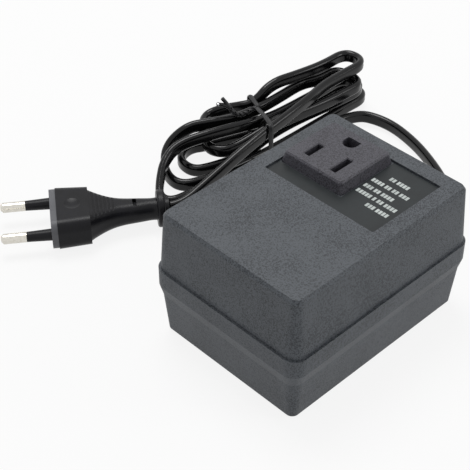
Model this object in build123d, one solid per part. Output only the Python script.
from build123d import *
import math
import os

# A travel voltage converter beside its tied cord, in millimetres.
# The origin is the middle of the case's base. X runs along the case, Y across it, and Z is up.

# Case: a drafted cover on a tray whose upper band stands proud at the parting line.
# Every outline is the top's outline grown by the same amount on each side.
parting_height = 28.8
cover_height = 23.4
top_length = 82.8
top_width = 61.0
top_corner = 2.2
shoulder_grow = 0.9
shoulder_drop = 1.3
cover_draft = 1.6
band_proud = 0.8
band_height = 7.2
slope_height = 4.6
waist_inset = 0.5
body_draft = 1.6
base_chamfer = 0.7
wall = 2.0
top_wall = 2.6
floor_wall = 2.2

case_height = parting_height + cover_height
cover_grow = shoulder_grow + cover_draft
band_grow = cover_grow + band_proud
waist_grow = cover_grow - waist_inset
base_grow = waist_grow - body_draft
rim_height = parting_height - band_height
waist_height = rim_height - slope_height
cover_inside = case_height - top_wall

# The tray's tongue stands in a rebate of the cover.
tongue_wall = 0.9
tongue_height = 1.6
fit_gap = 0.15
seat_gap = 0.1
cut_overrun = 1.0

# Case screws, driven up from deep counterbores in the base.
screw_x = 37.0
screw_y = 26.3
screw_shank_radius = 1.5
screw_head_radius = 2.6
screw_head_height = 2.0
screw_length = 22.0
screw_socket_radius = 0.9
screw_socket_depth = 1.1
counterbore_radius = 2.9
counterbore_depth = 14.0
tray_boss_radius = 4.0
cover_boss_radius = 2.8
pilot_gap = 0.05
pilot_extra = 2.0

# Recess in the cover's top, with the outlet block in one corner and the label beside it.
recess_margin = 6.3
recess_length = 34.8
recess_width = 49.2
recess_depth = 1.0
recess_corner = 0.6
recess_floor_wall = 1.6
recess_floor = case_height - recess_depth
recess_end = top_length / 2 - recess_margin
recess_x = recess_end - recess_length / 2
recess_underside = recess_floor - recess_floor_wall

# Outlet block: foot on the recess floor, drafted sides, bevelled face, neck through a window.
block_length = 27.4
block_width = 28.4
block_height = 4.5
block_draft = 0.9
block_bevel = 0.6
block_corner = 1.6
neck_inset = 1.5
neck_corner = 2.5
block_x = recess_end - seat_gap - block_length / 2
block_y = recess_width / 2 - seat_gap - block_width / 2
block_top = recess_floor + block_height
neck_length = block_length - 2 * neck_inset
neck_width = block_width - 2 * neck_inset

# Two blade slots 12.7 mm apart, and an earth hole 11.9 mm from them.
blade_spacing = 12.7
earth_offset = 11.9
blade_to_centre = 4.9
slot_width = 2.4
line_slot_length = 7.6
neutral_slot_length = 8.9
slot_bevel = 0.35
chamber_width = 5.6
chamber_extra = 1.6
chamber_roof = 7.5
earth_radius = 2.9
earth_flat = 2.25
earth_depth = 15.5
slot_x = block_x - blade_to_centre
earth_x = slot_x + earth_offset

# Outlet back: a cup round the neck that pulls the block down on the recess floor.
back_wall = 1.7
back_floor = 2.0
back_corner = 4.0
outlet_screw_radius = 1.2
outlet_screw_length = 9.0
small_head_radius = 2.2
small_head_height = 1.3
outlet_screw_near_inset = 4.0
outlet_screw_far_inset = 3.0
outlet_screw_side_inset = 2.9
outlet_screw_near = neck_length / 2 - outlet_screw_near_inset
outlet_screw_far = neck_length / 2 - outlet_screw_far_inset
outlet_screw_side = neck_width / 2 - outlet_screw_side_inset

# Blade contacts: a sprung strip bent to a U, with a solder tab through the back. Their heights are
# shares of the chamber's height.
strip = 0.5
contact_width = 4.4
shoulder_share = 0.42
pinch_share = 0.69
mouth_share = 0.84
pinch_gap = 1.2
contact_end_gap = 0.6
tab_width = 4.6
tab_thickness = 0.7
tab_length = 4.5

# Rating label: a thin plate in the bare part of the recess.
label_margin = 0.5
label_thickness = 0.3

# Transformer: an EI core with its middle leg upright, in a cradle of the tray.
core_x = -17.5
core_stack = 24.0
leg_width = 16.0
yoke = leg_width / 2
window_width = 8.0
head_room = 6.4
pad_height = 1.0
pad_width = 4.0
pad_offset = 18.0
core_hole_radius = 1.7
core_hole_inset = 3.5
core_width = leg_width + 2 * window_width + 2 * yoke
core_bottom = floor_wall + pad_height
window_height = cover_inside - head_room - core_bottom - 2 * yoke
window_bottom = core_bottom + yoke
window_top = window_bottom + window_height
core_top = window_top + yoke
cradle_size = 5.0
cradle_height = 13.0
cradle_gap = 0.2
cradle_wall = 2.0
hold_rib_thickness = 2.0
hold_rib_length = 20.0

# Bobbin and windings on the middle leg.
bobbin_gap = 0.2
bobbin_wall = 0.9
flange_thickness = 1.0
flange_overhang = 7.2
end_gap = 0.1
common_layer = 3.1
series_layer = 2.6
tape_layer = 0.3
winding_gap = 0.05
winding_corner = 0.8
rail_thickness = 2.8
rail_width = 29.0
rail_height = 3.4
terminal_count = 4
terminal_pitch = 7.0
terminal_size = 0.9
terminal_depth = 1.7
terminal_reach = 5.3

# Thermal fuse against the tape.
fuse_radius = 2.0
fuse_length = 11.0
fuse_lead_radius = 0.5
fuse_lead_length = 4.0

# Flat cord, with its wide side upright, and its way out of the case.
cord_width = 5.4
cord_thickness = 3.2
exit_y = 6.0
bushing_neck_radius = 4.6
bushing_flange_radius = 6.2
bushing_flange = 2.0
bushing_inner_flange = 1.5
bushing_tip_radius = 3.5
bushing_sleeve = 12.0
bushing_groove = 1.3
bushing_groove_depth = 0.6
bushing_grooves = 4
bushing_inset = 0.6
band_face = top_length / 2 + band_grow
inner_face = top_length / 2 + cover_grow - wall - bushing_inset
bushing_tip = band_face + seat_gap + bushing_flange + bushing_sleeve

# Clamp that grips the jacket inside the case.
tail_end = 28.0
clamp_x = 34.0
clamp_screw_side = 7.5
post_radius = 3.0
saddle_length = 5.0
clamp_length = 6.0
clamp_corner = 2.0
clamp_roof = 0.9
clamp_screw_radius = 1.2
clamp_screw_length = 9.0
clamp_top = parting_height + cord_width / 2 + clamp_roof

# The outlet reaches down to just above the clamp's screws.
back_clearance = 1.5
back_bottom = clamp_top + small_head_height + back_clearance
neck_bottom = back_bottom + back_floor
chamber_height = block_top - chamber_roof - neck_bottom
contact_shoulder = shoulder_share * chamber_height
contact_pinch = pinch_share * chamber_height
contact_mouth = mouth_share * chamber_height

# Inner leads.
lead_radius = 1.0
core_spacing = 2.6
sleeve_radius = 1.6
sleeve_length = 4.5
sleeve_overlap = 2.0
lead_corner = 3.0

# Hank: four turns of cord behind the case, tied near their middle.
layer_gap = 0.6
tie_thickness = 1.0
tie_width = 2.0
tie_clearance = 0.35
layer_step = cord_width + layer_gap
hank_base = cord_width / 2 + tie_thickness + tie_clearance
hank_front = 71.0
hank_start_x = 88.0
hank_end_x = 98.0
fold_share = 0.47
gap_sample = 0.8
gap_skip = 16.0

# Tie: a ring whose plane is turned about the upright, measured from its front leg's place. Depths are
# along the ring, from front to back, and heights are of its inside.
tie_x = 49.0
tie_y = 69.0
tie_turn = 28.0
ring_corner = 2.0
ring_front = -0.8
ring_front_height = 23.0
ring_shoulder = 4.6
ring_back = 28.9
ring_back_height = 19.2
ring_heel = 25.9
ring_heel_height = 6.6

# Tail: twisted up against the ring, laid along the hank, with its two ends parted.
tail_radius = 1.1
tail_corner = 4.0
tail_depth = 14.5
tail_start_height = 22.0
tail_low_reach = 6.0
tail_low_height = 21.0
tail_reach = 11.5
tail_height = 23.2
prong_radius = 0.75
long_prong_reach = 17.0
long_prong_depth = 15.9
long_prong_height = 27.4
short_prong_reach = 13.0
short_prong_depth = 15.1
short_prong_height = 28.8

# Plug: laid behind the case's near corner, its axis turned from +X.
plug_face_x = -37.0
plug_face_y = 98.7
plug_turn = 144.6
collar_radius = 7.35
collar_thickness = 3.0
plug_height = collar_radius
plug_width = 26.5
plug_thickness = 13.2
plug_body_length = 12.4
plug_rear_width = 24.4
plug_rear_thickness = 13.0
plug_round = 4.2
grip_width = 22.2
grip_thickness = 11.8
grip_length = 26.0
neck_diameter = 8.8
rib_count = 6
rib_pitch = 1.5
rib_groove = 0.7
rib_depth = 0.6
rib_start = 1.6
dimple_radius = 3.2
dimple_depth = 0.5
collar_fillet = 0.8
slot_back = 8.6
relief_slot_length = 1.5
relief_slot_width = 4.4
relief_slot_depth = 1.6
hub_radius = 4.6
hub_length = 1.6
bridge_thickness = 2.4
bridge_inset = 0.3
tenon_length = 5.0
tenon_width = 23.0
tenon_thickness = 7.0
pin_spacing = 19.0
pin_radius = 2.0
pin_length = 19.0
pin_metal_length = 9.5
pin_core_radius = 1.45
pin_root = 4.5
pin_tip_chamfer = 0.9
sleeve_base_radius = 2.3
sleeve_tip_radius = 1.95
plug_lead_in = 5.0
collar_back = plug_body_length + grip_length
cord_leaves_plug = collar_back + collar_thickness + hub_length


def outline(grow, height):
    """The top's outline grown by a distance, at a height."""
    return Pos(0, 0, height) * RectangleRounded(top_length + 2 * grow, top_width + 2 * grow, top_corner + grow)


def stack(levels):
    """A solid ruled through outlines, from (grow, height) pairs."""
    return loft([outline(grow, height) for grow, height in levels], ruled=True)


def block_between(length, width, low, high, corner=0.0):
    """An upright prism centred on Z between two heights."""
    face = RectangleRounded(length, width, corner) if corner else Rectangle(length, width)
    return extrude(Pos(0, 0, low) * face, high - low)


def post(radius, low, high):
    """An upright cylinder between two heights."""
    return extrude(Pos(0, 0, low) * Circle(radius), high - low)


def along_x(face, start, end):
    """A face drawn with its width along Y and its height along Z, drawn out along X."""
    return Pos(start, 0, 0) * extrude(Plane.YZ * face, end - start)


def four_corners(x, y):
    """The four mirrored places of a point."""
    return [(side_x * x, side_y * y) for side_x in (-1, 1) for side_y in (-1, 1)]


def cavity_grow(height):
    """How far the cover's outside is grown at a height above the parting line."""
    run = (height - parting_height) / (case_height - shoulder_drop - parting_height)
    return cover_grow - cover_draft * run


def make_cover():
    """Upper case: drafted shell with the recess, the outlet window, the bosses and the hold-down ribs."""
    shell = stack([(cover_grow, parting_height), (shoulder_grow, case_height - shoulder_drop), (0, case_height)])
    hollow = stack([(cover_grow - wall, parting_height), (cavity_grow(cover_inside) - wall, cover_inside)])
    rebate = stack([
        (cover_grow - wall + tongue_wall + fit_gap, parting_height),
        (cover_grow - wall + tongue_wall + fit_gap, parting_height + tongue_height + fit_gap),
    ])
    part = shell - hollow - rebate
    boss = post(cover_boss_radius, parting_height, cover_inside)
    hole_top = counterbore_depth + screw_length + pilot_extra
    pilot = post(screw_shank_radius + pilot_gap, parting_height, hole_top)
    for x, y in four_corners(screw_x, screw_y):
        part += Pos(x, y, 0) * boss
        part -= Pos(x, y, 0) * pilot
    rib = block_between(hold_rib_length, hold_rib_thickness, core_top + cradle_gap, cover_inside)
    for side in (-1, 1):
        part += Pos(core_x, side * pad_offset, 0) * rib
    recess = block_between(recess_length, recess_width, recess_floor, case_height + cut_overrun, recess_corner)
    pad = block_between(recess_length + 2 * wall, recess_width + 2 * wall, recess_underside, cover_inside + fit_gap)
    part += Pos(recess_x, 0, 0) * pad
    part -= Pos(recess_x, 0, 0) * recess
    window = block_between(
        neck_length + 2 * fit_gap, neck_width + 2 * fit_gap,
        recess_underside - cut_overrun, recess_floor + cut_overrun, neck_corner + fit_gap,
    )
    part -= Pos(block_x, block_y, 0) * window
    return part - bushing_notch()


def make_tray():
    """Lower case: tapered tray with the proud band, the tongue, the bosses, the cradle and the clamp posts."""
    outside = stack([
        (base_grow - base_chamfer, 0), (base_grow, base_chamfer), (waist_grow, waist_height),
        (band_grow, rim_height), (band_grow, parting_height),
    ])
    floor_grow = base_grow + (waist_grow - base_grow) * floor_wall / waist_height
    hollow = stack([
        (floor_grow - wall, floor_wall), (waist_grow - wall, waist_height), (cover_grow - wall, parting_height),
    ])
    tongue_low = parting_height - tongue_height
    tongue_high = parting_height + tongue_height
    tongue = stack([(cover_grow - wall + tongue_wall, tongue_low), (cover_grow - wall + tongue_wall, tongue_high)])
    tongue -= stack([(cover_grow - wall, tongue_low), (cover_grow - wall, tongue_high)])
    part = outside - hollow + tongue
    boss = post(tray_boss_radius, 0, parting_height)
    bosses = [Pos(x, y, 0) * boss for x, y in four_corners(screw_x, screw_y)]
    part += [outside & one for one in bosses]
    counterbore = post(counterbore_radius, -cut_overrun, counterbore_depth)
    shank_hole = post(screw_shank_radius + pilot_gap, 0, parting_height + cut_overrun)
    for x, y in four_corners(screw_x, screw_y):
        part -= Pos(x, y, 0) * (counterbore + shank_hole)
    part += cradle() + clamp_posts()
    return part - bushing_notch()


def cradle():
    """Two pads under the core and an angle round each of its corners."""
    part = Part()
    pad = block_between(core_stack - pad_width, pad_width, 0, core_bottom)
    corner = block_between(cradle_size, cradle_size, 0, floor_wall + cradle_height)
    for side in (-1, 1):
        part += Pos(core_x, side * pad_offset, 0) * pad
    reach_x = core_stack / 2 + cradle_gap + cradle_wall - cradle_size / 2
    reach_y = core_width / 2 + cradle_gap + cradle_wall - cradle_size / 2
    for x, y in four_corners(reach_x, reach_y):
        part += Pos(core_x + x, y, 0) * corner
    space = block_between(
        core_stack + 2 * cradle_gap, core_width + 2 * cradle_gap, core_bottom, core_top,
    )
    floor = block_between(top_length, top_width - 2 * wall, 0, floor_wall)
    return (part - Pos(core_x, 0, 0) * space) - floor


def clamp_posts():
    """Two posts for the clamp's screws and the saddle that the jacket lies on."""
    saddle_top = parting_height - cord_width / 2
    part = block_between(saddle_length, 2 * clamp_screw_side, floor_wall, saddle_top)
    one = post(post_radius, floor_wall, parting_height)
    hole_bottom = parting_height - clamp_screw_length
    hole = post(clamp_screw_radius + pilot_gap, hole_bottom, parting_height + cut_overrun)
    for side in (-1, 1):
        part += Pos(0, side * clamp_screw_side, 0) * one
    for side in (-1, 1):
        part -= Pos(0, side * clamp_screw_side, 0) * hole
    return Pos(clamp_x, exit_y, 0) * part


def bushing_notch():
    """The round hole through the end wall, half in each case half."""
    hole = along_x(Circle(bushing_neck_radius + fit_gap), inner_face - cut_overrun, band_face + cut_overrun)
    return Pos(0, exit_y, parting_height) * hole


def make_screw(shank_radius, length, head_radius, head_height, socket_radius, socket_depth):
    """A screw pointing up, with its head under the height 0 and a hex socket in it."""
    head = chamfer(post(head_radius, -head_height, 0).edges().sort_by(Axis.Z)[0], head_height / 4)
    point = post(shank_radius, 0, length)
    point = chamfer(point.edges().sort_by(Axis.Z)[-1], shank_radius / 2)
    socket = extrude(Pos(0, 0, -head_height) * RegularPolygon(socket_radius, 6), socket_depth)
    return head + point - socket


def make_case_screws():
    """Four screws, one in each counterbore."""
    screw = make_screw(
        screw_shank_radius, screw_length, screw_head_radius, screw_head_height,
        screw_socket_radius, screw_socket_depth,
    )
    return [Pos(x, y, counterbore_depth) * screw for x, y in four_corners(screw_x, screw_y)]


def make_small_screw(length):
    """A small screw pointing up, for the outlet and the clamp."""
    return make_screw(
        outlet_screw_radius, length, small_head_radius, small_head_height,
        screw_socket_radius, small_head_height / 2,
    )


def outlet_screw_places():
    """The three places of the outlet's screws, from the block's middle."""
    return [(-outlet_screw_near, 0), (outlet_screw_far, outlet_screw_side), (outlet_screw_far, -outlet_screw_side)]


def blade_places():
    """Each slot's side of the block, its length, and its place across the block."""
    return [
        ("line_contact", line_slot_length, block_y + blade_spacing / 2),
        ("neutral_contact", neutral_slot_length, block_y - blade_spacing / 2),
    ]


def make_outlet_block():
    """Outlet face: drafted block with bevelled slots, contact chambers, the earth hole and the neck."""
    bevel_level = block_top - block_bevel
    inner = 2 * block_draft
    face = inner + 2 * block_bevel
    part = loft([
        Pos(0, 0, recess_floor) * RectangleRounded(block_length, block_width, block_corner),
        Pos(0, 0, bevel_level) * RectangleRounded(block_length - inner, block_width - inner, block_corner),
        Pos(0, 0, block_top) * RectangleRounded(block_length - face, block_width - face, block_corner - block_bevel),
    ], ruled=True)
    part += block_between(neck_length, neck_width, neck_bottom, recess_floor, neck_corner)
    part = Pos(block_x, block_y, 0) * part
    for _, length, y in blade_places():
        part -= Pos(slot_x, y, 0) * slot_cut(length)
    earth = extrude(Pos(0, 0, block_top - earth_depth) * earth_face(), earth_depth)
    part -= Pos(earth_x, block_y, 0) * earth
    hole = post(outlet_screw_radius + pilot_gap, neck_bottom, back_bottom + outlet_screw_length + pilot_extra)
    for x, y in outlet_screw_places():
        part -= Pos(block_x + x, block_y + y, 0) * hole
    return part


def slot_cut(length):
    """A blade slot with its bevelled mouth and the wider chamber for its contact."""
    chamber = block_between(length + chamber_extra, chamber_width, neck_bottom, block_top - chamber_roof)
    slot = block_between(length, slot_width, block_top - chamber_roof, block_top)
    mouth = loft([
        Pos(0, 0, block_top - slot_bevel) * Rectangle(length, slot_width),
        Pos(0, 0, block_top) * Rectangle(length + 2 * slot_bevel, slot_width + 2 * slot_bevel),
    ], ruled=True)
    return chamber + slot + mouth


def earth_face():
    """A D: a round side toward the slots and a flat side away from them."""
    side = Rectangle(earth_flat, 2 * earth_radius, align=(Align.MIN, Align.CENTER))
    half = Circle(earth_radius) & Rectangle(earth_radius, 2 * earth_radius, align=(Align.MAX, Align.CENTER))
    return side + half


def make_outlet_back():
    """Cup that closes the contact chambers and clamps the block against the recess floor."""
    length = neck_length + 2 * fit_gap
    width = neck_width + 2 * fit_gap
    part = block_between(length + 2 * back_wall, width + 2 * back_wall, back_bottom, recess_underside, back_corner)
    part -= block_between(length, width, neck_bottom, recess_underside, neck_corner + fit_gap)
    hole = post(outlet_screw_radius + fit_gap, back_bottom, neck_bottom)
    for x, y in outlet_screw_places():
        part -= Pos(x, y, 0) * hole
    part = Pos(block_x, block_y, 0) * part
    tab_hole = block_between(tab_width + 2 * fit_gap, tab_thickness + 2 * fit_gap, back_bottom, neck_bottom)
    for _, _, y in blade_places():
        part -= Pos(slot_x, y, 0) * tab_hole
    return part


def make_outlet_screws():
    """Three screws up through the cup into the block's neck."""
    screw = make_small_screw(outlet_screw_length)
    return [Pos(block_x + x, block_y + y, back_bottom) * screw for x, y in outlet_screw_places()]


def make_contact(length):
    """A strip bent to a U with a pinched mouth, and a tab under it. Its base is at the height 0."""
    half = contact_width / 2
    outer = [
        (0, 0), (half, 0), (half, contact_shoulder), (pinch_gap / 2 + strip, contact_pinch),
        (half - strip, contact_mouth),
    ]
    inner = [
        (half - 2 * strip, contact_mouth), (pinch_gap / 2, contact_pinch), (half - strip, contact_shoulder),
        (half - strip, strip), (0, strip),
    ]
    half_profile = make_face(Polyline(*outer, *inner, close=True))
    profile = half_profile + mirror(half_profile, Plane.YZ)
    leaves = along_x(profile, -length / 2, length / 2)
    return leaves + block_between(tab_width, tab_thickness, -tab_length - back_floor, 0)


def make_label():
    """Plain label plate in the recess, clear of the block."""
    low_x = recess_end - recess_length + label_margin
    high_x = recess_end - label_margin
    low_y = label_margin - recess_width / 2
    high_y = block_y - block_width / 2 - label_margin
    plate = block_between(
        high_x - low_x, high_y - low_y, recess_floor, recess_floor + label_thickness, recess_corner,
    )
    return Pos((low_x + high_x) / 2, (low_y + high_y) / 2, 0) * plate


def make_e_core():
    """Stack of E laminations, open side up, with two corner holes."""
    height = window_top - core_bottom
    face = Pos(0, core_bottom + height / 2) * Rectangle(core_width, height)
    gap = Rectangle(window_width, window_height)
    for side in (-1, 1):
        face -= Pos(side * (leg_width + window_width) / 2, window_bottom + window_height / 2) * gap
        place = Pos(side * (core_width / 2 - core_hole_inset), core_bottom + core_hole_inset)
        face -= place * Circle(core_hole_radius)
    return Pos(core_x, 0, 0) * along_x(face, -core_stack / 2, core_stack / 2)


def make_i_core():
    """Stack of I laminations that closes the core, with two corner holes."""
    face = Pos(0, window_top + yoke / 2) * Rectangle(core_width, yoke)
    for side in (-1, 1):
        place = Pos(side * (core_width / 2 - core_hole_inset), core_top - core_hole_inset)
        face -= place * Circle(core_hole_radius)
    return Pos(core_x, 0, 0) * along_x(face, -core_stack / 2, core_stack / 2)


def bobbin_outline(grow):
    """Length and width of an outline grown from the bobbin's bore."""
    bore_length = core_stack + 2 * bobbin_gap
    bore_width = leg_width + 2 * bobbin_gap
    return bore_length + 2 * grow, bore_width + 2 * grow


def make_bobbin():
    """Former with two flanges, and a rail on the lower one for the terminals."""
    low = window_bottom + end_gap
    high = window_top - end_gap
    flange_grow = bobbin_wall + flange_overhang - 2 * winding_gap
    length, width = bobbin_outline(flange_grow)
    part = block_between(*bobbin_outline(bobbin_wall), low, high, winding_corner)
    flange_width = width - 2 * (bobbin_wall - 2 * winding_gap)
    part += block_between(length, flange_width, low, low + flange_thickness)
    part += block_between(length, flange_width, high - flange_thickness, high)
    rail = block_between(rail_thickness, rail_width, low - rail_height, low + flange_thickness)
    part += Pos(length / 2 - rail_thickness / 2, 0, 0) * rail
    part -= block_between(*bobbin_outline(0), low - cut_overrun, high + cut_overrun)
    socket_size = terminal_size + 2 * pilot_gap
    for y in terminal_places():
        socket = Pos(y, terminal_height()) * Rectangle(socket_size, socket_size)
        part -= along_x(socket, length / 2 - terminal_depth, length / 2)
    return Pos(core_x, 0, 0) * part


def terminal_places():
    """The four terminals' places across the rail."""
    first = -(terminal_count - 1) * terminal_pitch / 2
    return [first + number * terminal_pitch for number in range(terminal_count)]


def terminal_height():
    """Middle height of the terminals on the rail."""
    return window_bottom + end_gap - rail_height / 2


def rail_face():
    """Where the rail's outer face lies."""
    length, _ = bobbin_outline(bobbin_wall + flange_overhang - 2 * winding_gap)
    return core_x + length / 2


def make_terminals():
    """Four square pins in the rail."""
    pins = []
    for y in terminal_places():
        face = Pos(y, terminal_height()) * Rectangle(terminal_size, terminal_size)
        pins.append(along_x(face, rail_face() - terminal_depth, rail_face() + terminal_reach))
    return pins


def make_winding(inner_grow, thickness):
    """A wound layer round the bobbin, between its flanges."""
    low = window_bottom + end_gap + flange_thickness + winding_gap
    high = window_top - end_gap - flange_thickness - winding_gap
    inner_corner = winding_corner + inner_grow - bobbin_wall
    part = block_between(*bobbin_outline(inner_grow + thickness), low, high, inner_corner + thickness)
    part -= block_between(*bobbin_outline(inner_grow), low, high, inner_corner)
    return Pos(core_x, 0, 0) * part


def make_fuse(tape_grow):
    """Thermal fuse lying across the tape's far side, with a lead at each end."""
    length, _ = bobbin_outline(tape_grow)
    x = core_x - length / 2 - fuse_radius - seat_gap
    body = Cylinder(fuse_radius, fuse_length)
    body += Cylinder(fuse_lead_radius, fuse_length + 2 * fuse_lead_length)
    return Pos(x, 0, (window_bottom + window_top) / 2) * (Rot(90, 0, 0) * body)


def make_bushing():
    """Grommet moulded on the cord: neck in the wall, a flange each side and a ringed sleeve outside."""
    outer = band_face + seat_gap
    part = along_x(Circle(bushing_inner_flange_radius()), inner_face - bushing_inner_flange, inner_face)
    part += along_x(Circle(bushing_neck_radius), inner_face, outer)
    flange = along_x(Circle(bushing_flange_radius), outer, outer + bushing_flange)
    part += fillet(flange.edges().sort_by(Axis.X)[-1], bushing_flange / 2)
    part += loft([
        Pos(outer + bushing_flange, 0, 0) * (Plane.YZ * Circle(bushing_neck_radius)),
        Pos(bushing_tip, 0, 0) * (Plane.YZ * Circle(bushing_tip_radius)),
    ])
    pitch = bushing_sleeve / (bushing_grooves + 1)
    for number in range(bushing_grooves):
        x = outer + bushing_flange + (number + 1) * pitch
        taper = (bushing_neck_radius - bushing_tip_radius) * (number + 1) / (bushing_grooves + 1)
        ring = Circle(bushing_flange_radius) - Circle(bushing_neck_radius - taper - bushing_groove_depth)
        part -= along_x(ring, x - bushing_groove / 2, x + bushing_groove / 2)
    return Pos(0, exit_y, parting_height) * part


def bushing_inner_flange_radius():
    """The inner flange is a little smaller than the outer one."""
    return bushing_flange_radius - wall / 2


def cord_face():
    """The flat cord's section, with its wide side up the sketch's Y axis."""
    return Rot(0, 0, 90) * SlotOverall(cord_width, cord_thickness)


def make_cord_tail():
    """Jacketed end of the cord inside the case, under the clamp."""
    tail = along_x(cord_face(), tail_end, inner_face - bushing_inner_flange)
    return Pos(0, exit_y, parting_height) * tail


def make_clamp():
    """Bar with a channel for the cord, screwed to the two posts."""
    width = 2 * (clamp_screw_side + post_radius)
    part = block_between(clamp_length, width, parting_height, clamp_top, clamp_corner)
    channel = cord_thickness + 2 * fit_gap
    part -= block_between(clamp_length, channel, parting_height, clamp_top - clamp_roof)
    hole = post(clamp_screw_radius + fit_gap, parting_height, clamp_top)
    for side in (-1, 1):
        part -= Pos(0, side * clamp_screw_side, 0) * hole
    return Pos(clamp_x, exit_y, 0) * part


def make_clamp_screws():
    """Two screws down through the clamp into the posts."""
    screw = Rot(180, 0, 0) * make_small_screw(clamp_screw_length)
    return [Pos(clamp_x, exit_y + side * clamp_screw_side, clamp_top) * screw for side in (-1, 1)]


def swept_round(points, radius, corner):
    """A round lead along straight runs joined by equal arcs."""
    path = FilletPolyline(*points, radius=corner)
    return sweep((path ^ 0) * Circle(radius), path)


def make_leads():
    """Four leads: two from the cord's tail and two from the contacts, each to its terminal."""
    wire_x = rail_face() + terminal_reach
    z = terminal_height()
    places = terminal_places()
    high = parting_height + core_spacing / 2
    low = parting_height - core_spacing / 2
    tab_low = back_bottom - tab_length
    free = sleeve_length + lead_radius
    contact_y = [y for _, _, y in blade_places()]
    middle = (tail_end + wire_x) / 2
    near = wire_x + free
    return {
        "live_input_lead": [
            (tail_end, exit_y, high), (tail_end - free, exit_y, high), (middle, places[0] / 2, (high + z) / 2),
            (near, places[0], z), (wire_x, places[0], z),
        ],
        "neutral_input_lead": [
            (tail_end, exit_y, low), (tail_end - free, exit_y, low),
            (middle, places[1] / 2, (low + z) / 2 - lead_radius), (near, places[1], z), (wire_x, places[1], z),
        ],
        "line_output_lead": [
            (slot_x, contact_y[0], tab_low), (slot_x, contact_y[0], z + free),
            (near, places[3], z), (wire_x, places[3], z),
        ],
        "neutral_output_lead": [
            (slot_x, contact_y[1], tab_low), (slot_x, contact_y[1], z + 2 * free),
            (near, places[2], z), (wire_x, places[2], z),
        ],
    }


def make_solder_sleeves():
    """A shrink sleeve over each joint of a lead and a terminal."""
    start = rail_face() + terminal_reach - sleeve_overlap
    face = Circle(sleeve_radius) - Circle(lead_radius + pilot_gap)
    sleeves = []
    for y in terminal_places():
        sleeve = along_x(Pos(y, terminal_height()) * face, start, start + sleeve_length)
        sleeves.append(sleeve)
    return sleeves


def corner_radii(points):
    """Largest neat arc at each corner: 0.45 of its shorter run over the tangent of half its turn."""
    places = [Vector(*point) for point in points]
    radii = []
    for before, here, after in zip(places, places[1:], places[2:]):
        run_in = here - before
        run_out = after - here
        half_turn = math.radians(run_in.get_angle(run_out)) / 2
        radii.append(0.45 * min(run_in.length, run_out.length) / math.tan(half_turn))
    return radii


def swept_cord(name, points, radii):
    """The flat cord along straight runs joined by tangent arcs, with a check of its volume."""
    path = FilletPolyline(*points, radius=radii)
    start = Vector(*points[0])
    ahead = (Vector(*points[1]) - start).normalized()
    side = Vector(0, 0, 1).cross(ahead)
    solid = sweep(Plane(origin=start, x_dir=side, z_dir=ahead) * cord_face(), path)
    expected = cord_face().area * path.length
    print(name, "length", round(path.length, 1), "radii", [round(radius, 1) for radius in radii])
    print(name, "volume over section times length", round(solid.volume / expected, 4))
    return solid


# Route of the free cord from the hank's start round the case's corner to the bushing.
exit_route = [
    (hank_start_x, hank_front, hank_base),
    (100, hank_front, hank_base),
    (107.5, 57, 3.1),
    (104, 38, 3.1),
    (95.3, 20, 3.1),
    (86.5, exit_y, 3.1),
    (80, exit_y, 3.1),
    (66, exit_y, parting_height),
    (bushing_tip, exit_y, parting_height),
]


def plug_place(back, side=0.0):
    """A point on the plug's axis behind its face, in the part's frame."""
    turn = math.radians(plug_turn)
    x = plug_face_x - back * math.cos(turn) - side * math.sin(turn)
    y = plug_face_y - back * math.sin(turn) + side * math.cos(turn)
    return x, y, plug_height


# Route of the free cord from the hank's end down to the plug's collar.
plug_route = [
    (hank_end_x, 75, hank_base + 3 * layer_step),
    (86, 75, hank_base + 3 * layer_step),
    (70, 71.3, 22),
    (42, 70.6, 18.6),
    (16, 71, 11),
    plug_place(cord_leaves_plug + plug_lead_in),
    plug_place(cord_leaves_plug),
]

# The hank's four turns, in the order that the cord runs. Each turn comes in along the front, bends at
# the left, goes back to the right, and folds at its reach from one place in Y to another.
# A point is its place in X and Y, its layer, and the radius of its arc.
hank_turns = [
    {
        "front": [(50, 71, 0, 60)],
        "bend": [(3, 78.5, 0, 5), (8.4, 86.4, 0, 4.8), (13.1, 93.2, 1, 4.8), (16, 97.5, 1, 5)],
        "back": [(60, 86.6, 1, 60)],
        "reach": 112, "fold": (85, 74.5), "layer": 1,
    },
    {
        "front": [(64, 79, 1, 20), (44, 80.4, 0, 20)],
        "bend": [(24, 85.5, 0, 5), (31, 100.5, 0, 6)],
        "back": [(60, 88, 0, 60)],
        "reach": 115, "fold": (85, 75), "layer": 0,
    },
    {
        "front": [(50, 75, 0, 60)],
        "bend": [(14, 81, 0, 8), (34.5, 111.5, 0, 7)],
        "back": [
            (43.5, 106.5, 0, 10), (53, 95.5, 1, 10), (60, 91.3, 1, 8), (68, 90.8, 1, 20), (88, 89, 2, 20),
        ],
        "reach": 107, "fold": (85, 71), "layer": 2,
    },
    {
        "front": [(84, 71.5, 2, 40), (60, 75.6, 2, 40)],
        "bend": [(29, 76.8, 2, 6), (36, 99, 2, 9)],
        "back": [(56, 93.6, 2, 30), (65, 91.3, 2, 20), (85, 88, 3, 20)],
        "reach": 112.5, "fold": (85.5, 75), "layer": 3,
    },
]


def layer(number):
    """Middle height of one of the hank's layers."""
    return hank_base + number * layer_step


def hank_route():
    """Corners of the whole hank, and the radius at each inner one."""
    corners = [(hank_start_x, hank_front, 0, 0)]
    for turn in hank_turns:
        corners += turn["front"] + turn["bend"] + turn["back"]
        back, front = turn["fold"]
        for y in (back, front):
            corners.append((turn["reach"], y, turn["layer"], fold_share * (back - front)))
    corners.append((hank_end_x, front, turn["layer"], 0))
    points = [(x, y, layer(number)) for x, y, number, radius in corners]
    return points, [radius for x, y, number, radius in corners[1:-1]]


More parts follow.
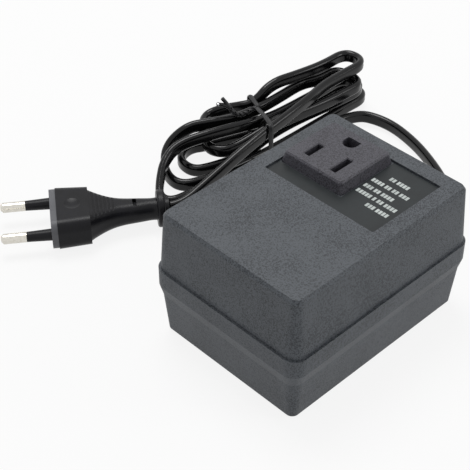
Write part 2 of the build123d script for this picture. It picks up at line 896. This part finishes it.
def make_hank():
    """The tied hank: one unbroken tube through all four turns."""
    points, radii = hank_route()
    path = FilletPolyline(*points, radius=radii)
    print("hank's least gap to itself", round(least_gap(path), 2))
    return swept_cord("cord_hank", points, radii)


def least_gap(path):
    """Smallest distance between two stretches of the upright cord, measured on points of its middle line."""
    count = int(path.length / gap_sample)
    places = [path @ (number / count) for number in range(count + 1)]
    step = path.length / count
    apart = int(gap_skip / step)
    half = (cord_width - cord_thickness) / 2
    least = math.inf
    for first in range(count + 1):
        for second in range(first + apart, count + 1):
            across = math.hypot(places[first].X - places[second].X, places[first].Y - places[second].Y)
            above = max(0, abs(places[first].Z - places[second].Z) - 2 * half)
            least = min(least, math.hypot(across, above) - cord_thickness)
    return least


def make_tie():
    """Coated twist tie: a ring drawn round the strands, a twisted tail and two parted ends."""
    corners = [
        (ring_front, tie_thickness), (ring_front, ring_front_height), (ring_shoulder, ring_front_height),
        (ring_back, ring_back_height), (ring_back, ring_heel_height), (ring_heel, tie_thickness),
    ]
    inside = make_face(Wire(FilletPolyline(*corners, radius=ring_corner, close=True).edges()))
    part = along_x(offset(inside, tie_thickness) - inside, -tie_width / 2, tie_width / 2)
    tail = [
        (0, tail_depth, tail_start_height), (-tail_low_reach, tail_depth, tail_low_height),
        (-tail_reach, tail_depth, tail_height),
    ]
    part += swept_round(tail, tail_radius, tail_corner)
    prongs = [
        (-long_prong_reach, long_prong_depth, long_prong_height),
        (-short_prong_reach, short_prong_depth, short_prong_height),
    ]
    for tip in prongs:
        path = Line(tail[-1], tip)
        part += sweep((path ^ 0) * Circle(prong_radius), path)
    return Pos(tie_x, tie_y, 0) * (Rot(0, 0, -tie_turn) * part)


# Stations of the grip behind the body: along it, and how much of the start's width and thickness is left.
grip_shares = [
    (0, 1, 1), (0.14, 0.63, 0.67), (0.26, 0.38, 0.43), (0.39, 0.19, 0.27), (0.56, 0.075, 0.13),
    (0.75, 0.015, 0.03), (1, 0, 0),
]
body_corner_share = 0.36
neck_corner_share = 0.49
rib_width_share = 0.7


def across_plug(back, width, thickness, corner):
    """A rounded section of the plug, behind its face."""
    return Pos(-back, 0, 0) * (Plane.YZ * RectangleRounded(width, thickness, corner))


def grip_size(share, start):
    """Width or thickness where this share of the start is left."""
    return neck_diameter + share * (start - neck_diameter)


def grip_thickness_at(back):
    """The grip's thickness at a distance behind the body, between its stations."""
    along = back / grip_length
    for before, after in zip(grip_shares, grip_shares[1:]):
        if before[0] <= along <= after[0]:
            share = before[2] + (after[2] - before[2]) * (along - before[0]) / (after[0] - before[0])
    return grip_size(share, grip_thickness)


def lay_plug(piece):
    """Put a piece drawn with the plug's axis along X in its place on the table."""
    return Pos(plug_face_x, plug_face_y, plug_height) * (Rot(0, 0, plug_turn) * piece)


def make_plug_body():
    """Moulded body with its dimple, the ribbed grip, the neck with its slot, and the collar."""
    part = loft([
        across_plug(0, plug_width, plug_thickness, plug_round),
        across_plug(plug_body_length, plug_rear_width, plug_rear_thickness, plug_round),
    ], ruled=True)
    sections = []
    for along, width, thickness in grip_shares:
        tall = grip_size(thickness, grip_thickness)
        corner = tall * (body_corner_share + along * (neck_corner_share - body_corner_share))
        back = plug_body_length + along * grip_length
        sections.append(across_plug(back, grip_size(width, grip_width), tall, corner))
    part += loft(sections)
    collar = along_x(Circle(collar_radius), -collar_back - collar_thickness, -collar_back)
    part += fillet(collar.edges().filter_by(GeomType.CIRCLE), collar_fillet)
    part += along_x(Circle(hub_radius), -cord_leaves_plug, -collar_back)
    for number in range(rib_count):
        back = rib_start + number * rib_pitch
        floor = grip_thickness_at(back) / 2 - rib_depth
        groove = block_between(rib_groove, rib_width_share * grip_width, floor, floor + grip_thickness)
        for side in (0, 180):
            part -= Pos(-plug_body_length - back, 0, 0) * (Rot(side, 0, 0) * groove)
    ball_radius = (dimple_radius ** 2 + dimple_depth ** 2) / (2 * dimple_depth)
    top = (plug_thickness + plug_rear_thickness) / 4
    part -= Pos(-plug_body_length / 2, 0, top - dimple_depth + ball_radius) * Sphere(ball_radius)
    slot_floor = neck_diameter / 2 - relief_slot_depth
    slot = block_between(relief_slot_length, relief_slot_width, slot_floor, neck_diameter)
    part -= Pos(-collar_back + slot_back, 0, 0) * slot
    pocket = Rectangle(tenon_width + 2 * fit_gap, tenon_thickness + 2 * fit_gap)
    return lay_plug(part - along_x(pocket, -tenon_length - fit_gap, 0))


def make_plug_bridge():
    """Lighter plate at the plug's face, with a tenon in the body and a hole for each pin."""
    face = RectangleRounded(plug_width - 2 * bridge_inset, plug_thickness - 2 * bridge_inset, plug_round)
    part = along_x(face, 0, bridge_thickness)
    part += along_x(Rectangle(tenon_width, tenon_thickness), -tenon_length, 0)
    for side in (-1, 1):
        hole = Pos(side * pin_spacing / 2, 0) * Circle(pin_core_radius + pilot_gap)
        part -= along_x(hole, -pin_root, bridge_thickness)
    return lay_plug(part)


def make_pin(side):
    """A pin: a thin root and sleeved half, and a full metal tip with a chamfer."""
    metal_start = bridge_thickness + pin_length - pin_metal_length
    end = bridge_thickness + pin_length
    tip = along_x(Circle(pin_radius), metal_start, end)
    tip = chamfer(tip.edges().sort_by(Axis.X)[-1], pin_tip_chamfer)
    part = tip + along_x(Circle(pin_core_radius), -pin_root, metal_start)
    return lay_plug(Pos(0, side * pin_spacing / 2, 0) * part)


def make_pin_sleeves():
    """A tapered insulating sleeve on each pin's inner half."""
    metal_start = bridge_thickness + pin_length - pin_metal_length
    sleeve = loft([
        Pos(bridge_thickness, 0, 0) * (Plane.YZ * Circle(sleeve_base_radius)),
        Pos(metal_start, 0, 0) * (Plane.YZ * Circle(sleeve_tip_radius)),
    ])
    sleeve -= along_x(Circle(pin_core_radius + pilot_gap), bridge_thickness, metal_start)
    return [lay_plug(Pos(0, side * pin_spacing / 2, 0) * sleeve) for side in (-1, 1)]


def main():
    """Write every piece to its own file."""
    os.makedirs("parts", exist_ok=True)
    series_grow = bobbin_wall + winding_gap + common_layer + winding_gap
    tape_grow = series_grow + series_layer + winding_gap
    pieces = {
        "upper_case": make_cover(),
        "lower_case": make_tray(),
        "case_screws": make_case_screws(),
        "outlet_block": make_outlet_block(),
        "outlet_back": make_outlet_back(),
        "outlet_screws": make_outlet_screws(),
        "rating_label": make_label(),
        "core_e_laminations": make_e_core(),
        "core_i_laminations": make_i_core(),
        "bobbin": make_bobbin(),
        "bobbin_terminals": make_terminals(),
        "common_winding": make_winding(bobbin_wall + winding_gap, common_layer),
        "series_winding": make_winding(series_grow, series_layer),
        "winding_tape": make_winding(tape_grow, tape_layer),
        "thermal_fuse": make_fuse(tape_grow + tape_layer),
        "cord_bushing": make_bushing(),
        "cord_tail": make_cord_tail(),
        "cord_clamp": make_clamp(),
        "clamp_screws": make_clamp_screws(),
        "solder_sleeves": make_solder_sleeves(),
    }
    for name, length, y in blade_places():
        contact = make_contact(length + chamber_extra - 2 * contact_end_gap)
        pieces[name] = Pos(slot_x, y, neck_bottom) * contact
    for name, points in make_leads().items():
        pieces[name] = swept_round(points, lead_radius, lead_corner)
    pieces["cord_exit_run"] = swept_cord("cord_exit_run", exit_route, corner_radii(exit_route))
    pieces["cord_hank"] = make_hank()
    pieces["cord_plug_run"] = swept_cord("cord_plug_run", plug_route, corner_radii(plug_route))
    pieces["twist_tie"] = make_tie()
    pieces["plug_body"] = make_plug_body()
    pieces["plug_bridge"] = make_plug_bridge()
    pieces["plug_pin_left"] = make_pin(1)
    pieces["plug_pin_right"] = make_pin(-1)
    pieces["pin_sleeves"] = make_pin_sleeves()
    for name, piece in pieces.items():
        solids = piece if isinstance(piece, list) else [piece]
        export_step(Compound(solids), os.path.join("parts", name + ".step"))


main()
